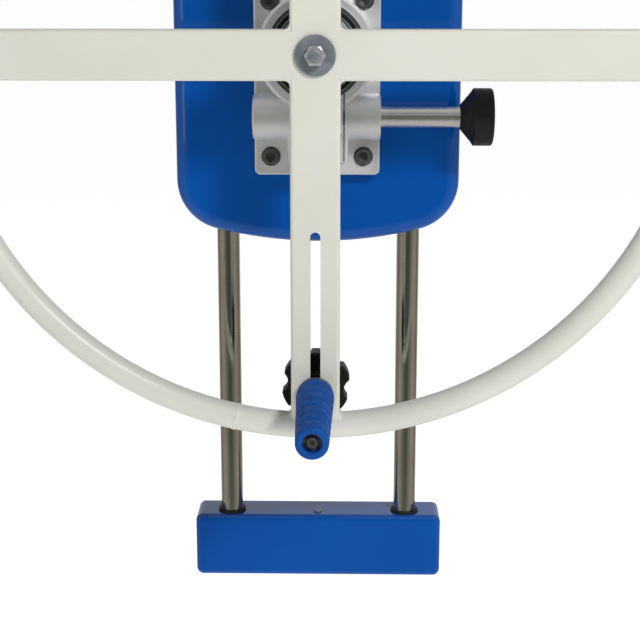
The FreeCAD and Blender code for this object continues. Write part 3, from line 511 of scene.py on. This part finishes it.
def weld_section(point, outward, turn, ripple):
    """Concave fillet between a spoke's side and the rim tube, closed a little inside both."""
    leg = (WELD_LEG * outward.x ** 2 + WELD_LEG_FRONT * outward.y ** 2) * ripple
    foot = point + outward * leg
    corner = Vector((point.x, point.y, -rim_surface_depth(point.x, point.y)))
    toe = Vector((foot.x, foot.y, -rim_surface_depth(foot.x, foot.y) - 0.0003))
    top = corner + Vector((-outward.x * 0.0003, -outward.y * 0.0003, leg))
    root = corner - Vector((outward.x * 0.0012, outward.y * 0.0012, 0.0012))
    section = [root]
    for step in range(9):
        share = step / 8
        section.append(toe.lerp(corner, share).lerp(corner.lerp(top, share), share))
    return [turn @ place + HUB + Vector((0, RIM_Y, 0)) for place in section]


def make_rim_welds():
    """One slightly uneven fillet round the foot of each spoke."""
    half_width = (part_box("lower_spoke")[1].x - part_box("lower_spoke")[0].x) / 2
    half_width = min(half_width, (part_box("horizontal_spoke")[1].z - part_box("horizontal_spoke")[0].z) / 2)
    half_depth = (SPOKE_BACK - SPOKE_FRONT) / 2
    outline = spoke_outline(half_width, half_depth, SPOKE_CORNER_R)
    bm = bmesh.new()
    for quarter in range(4):
        turn = Matrix.Rotation(quarter * math.pi / 2, 4, "Y")
        rings = []
        for index, (point, outward) in enumerate(outline):
            ripple = 1 + 0.05 * math.sin(TAU * index / 9.3) + 0.08 * math.sin(index * 0.11 + quarter)
            rings.append(weld_section(point, outward, turn, ripple))
        loft(bm, rings, closed=True)
    add_piece("rim_weld_beads", bm, "wheel", "cream_paint", sharp_angle=80)


def make_rim_joint():
    """Low band round the tube where the bent rim's ends were welded and ground."""
    bm = bmesh.new()
    rings = []
    for step in range(9):
        share = step / 8
        angle = math.radians(RIM_JOINT_ANGLE + 1.1 * (share - 0.5))
        rise = 0.0006 * math.sin(math.pi * share) - 0.0002
        out = Vector((-math.sin(angle), 0, -math.cos(angle)))
        centre = HUB + Vector((0, RIM_Y, 0)) + out * RIM_LINE_R
        ring = []
        for corner in range(48):
            around = TAU * corner / 48
            wobble = 1 + 0.012 * math.sin(9 * around + step)
            offset = out * math.cos(around) + Vector((0, 1, 0)) * math.sin(around)
            ring.append(centre + offset * (TUBE_R + rise) * wobble)
        rings.append(ring)
    loft(bm, rings)
    add_piece("rim_joint_weld", bm, "wheel", "cream_paint", sharp_angle=80)


# ---------------------------------------------------------------- studio
WALL_WHITE = (0.85, 0.85, 0.84)
DIM_BEIGE = (0.17, 0.16, 0.13)
WARM_BEIGE = (0.36, 0.34, 0.28)
DARK_GREEN = (0.075, 0.09, 0.07)
CEILING_GREY = (0.5, 0.49, 0.48)
DOME = 0.24
FLOOR_DROP = 0.6


def world_node(tree, kind, operation=None):
    node = tree.nodes.new(kind)
    if operation is not None:
        node.operation = operation
    return node


def room_reflection(tree):
    """What glossy surfaces reflect: a white wall behind, beige sides, a dark front and a grey ceiling."""
    coords = world_node(tree, "ShaderNodeTexCoord")
    split = world_node(tree, "ShaderNodeSeparateXYZ")
    tree.links.new(coords.outputs["Generated"], split.inputs[0])
    back = world_node(tree, "ShaderNodeMath", "MULTIPLY")
    back.inputs[1].default_value = -1
    tree.links.new(split.outputs["Y"], back.inputs[0])
    bearing = world_node(tree, "ShaderNodeMath", "ARCTAN2")
    tree.links.new(split.outputs["X"], bearing.inputs[0])
    tree.links.new(back.outputs[0], bearing.inputs[1])
    turn = world_node(tree, "ShaderNodeMath", "ABSOLUTE")
    tree.links.new(bearing.outputs[0], turn.inputs[0])
    share = world_node(tree, "ShaderNodeMath", "DIVIDE")
    share.inputs[1].default_value = math.pi
    tree.links.new(turn.outputs[0], share.inputs[0])
    ramp = world_node(tree, "ShaderNodeValToRGB")
    stops = ramp.color_ramp.elements
    stops[0].position = 0.06
    stops[0].color = (*DARK_GREEN, 1)
    stops[1].position = 0.93
    stops[1].color = (*WALL_WHITE, 1)
    stops.new(0.34).color = (*WARM_BEIGE, 1)
    stops.new(0.48).color = (*WARM_BEIGE, 1)
    stops.new(0.66).color = (*DIM_BEIGE, 1)
    tree.links.new(share.outputs[0], ramp.inputs[0])
    steepness = world_node(tree, "ShaderNodeMath", "ABSOLUTE")
    tree.links.new(split.outputs["Z"], steepness.inputs[0])
    rise = world_node(tree, "ShaderNodeMapRange")
    rise.interpolation_type = "SMOOTHSTEP"
    rise.inputs["From Min"].default_value = 0.25
    rise.inputs["From Max"].default_value = 0.8
    tree.links.new(steepness.outputs[0], rise.inputs[0])
    mix = world_node(tree, "ShaderNodeMix")
    mix.data_type = "RGBA"
    tree.links.new(rise.outputs[0], mix.inputs[0])
    tree.links.new(ramp.outputs[0], mix.inputs[6])
    mix.inputs[7].default_value = (*CEILING_GREY, 1)
    return mix.outputs[2]


def make_world():
    """White backdrop, even soft light for matte surfaces and a room for glossy ones to reflect."""
    world = bpy.data.worlds.new("studio")
    SCENE.world = world
    world.use_nodes = True
    tree = world.node_tree
    background = tree.nodes["Background"]
    path = world_node(tree, "ShaderNodeLightPath")
    dome = world_node(tree, "ShaderNodeMix")
    dome.data_type = "RGBA"
    tree.links.new(path.outputs["Is Camera Ray"], dome.inputs[0])
    dome.inputs[6].default_value = (DOME, DOME, DOME, 1)
    dome.inputs[7].default_value = (1, 1, 1, 1)
    choose = world_node(tree, "ShaderNodeMix")
    choose.data_type = "RGBA"
    tree.links.new(path.outputs["Is Glossy Ray"], choose.inputs[0])
    tree.links.new(dome.outputs[2], choose.inputs[6])
    tree.links.new(room_reflection(tree), choose.inputs[7])
    tree.links.new(choose.outputs[2], background.inputs["Color"])


def area_light(name, place, size, power):
    """Soft light that points at the hub and isn't seen itself."""
    data = bpy.data.lights.new(name, "AREA")
    data.shape = "RECTANGLE"
    data.size, data.size_y = size
    data.energy = power
    light = bpy.data.objects.new(name, data)
    light.visible_camera = False
    light.location = place
    light.rotation_euler = (HUB - Vector(place)).to_track_quat("-Z", "Y").to_euler()
    SCENE.collection.objects.link(light)


def make_lights():
    """A window high on the right throws the wheel's shadow on the cover, and a wide panel fills in."""
    area_light("window", (1.44, -2.09, 2.19), (0.4, 0.4), 54)
    area_light("left_fill", (-2.2, -2.0, 1.0), (0.8, 1.8), 5)


def make_floor():
    """Pale floor that reaches the horizon."""
    mesh = bpy.data.meshes.new("floor")
    far = 300
    corners = [(-far, -far, 0), (far, -far, 0), (far, far, 0), (-far, far, 0)]
    mesh.from_pydata(corners, [], [(0, 1, 2, 3)])
    floor = bpy.data.objects.new("floor", mesh)
    floor.location.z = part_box("lower_bracket_cover")[0].z - FLOOR_DROP
    SCENE.collection.objects.link(floor)
    paint = new_material("floor_paint", (0.9, 0.9, 0.9), 0.95, Specular_IOR_Level=0.0)
    shader_of(paint).inputs["Emission Color"].default_value = (1, 1, 1, 1)
    shader_of(paint).inputs["Emission Strength"].default_value = 0.76
    mesh.materials.append(paint)
    floor.visible_glossy = False


def make_camera():
    """At the photograph's viewing angle, with the lens shifted down."""
    data = bpy.data.cameras.new("camera")
    data.lens = 74.5
    data.sensor_width = 36
    data.shift_y = -0.1
    data.clip_end = 1000
    camera = bpy.data.objects.new("camera", data)
    camera.location = (0.0277, -1.4754, 0.6451)
    camera.rotation_euler = (math.radians(90 - 11.92), 0, math.radians(1.01))
    SCENE.collection.objects.link(camera)
    SCENE.camera = camera


SCENE.view_settings.view_transform = "Standard"
MATERIALS = make_materials()
dress_cad_nodes(MATERIALS)
make_grip()
make_bearing_seal()
make_housing_screws()
make_centre_bolt()
make_rim_welds()
make_rim_joint()
make_world()
make_lights()
make_floor()
make_camera()
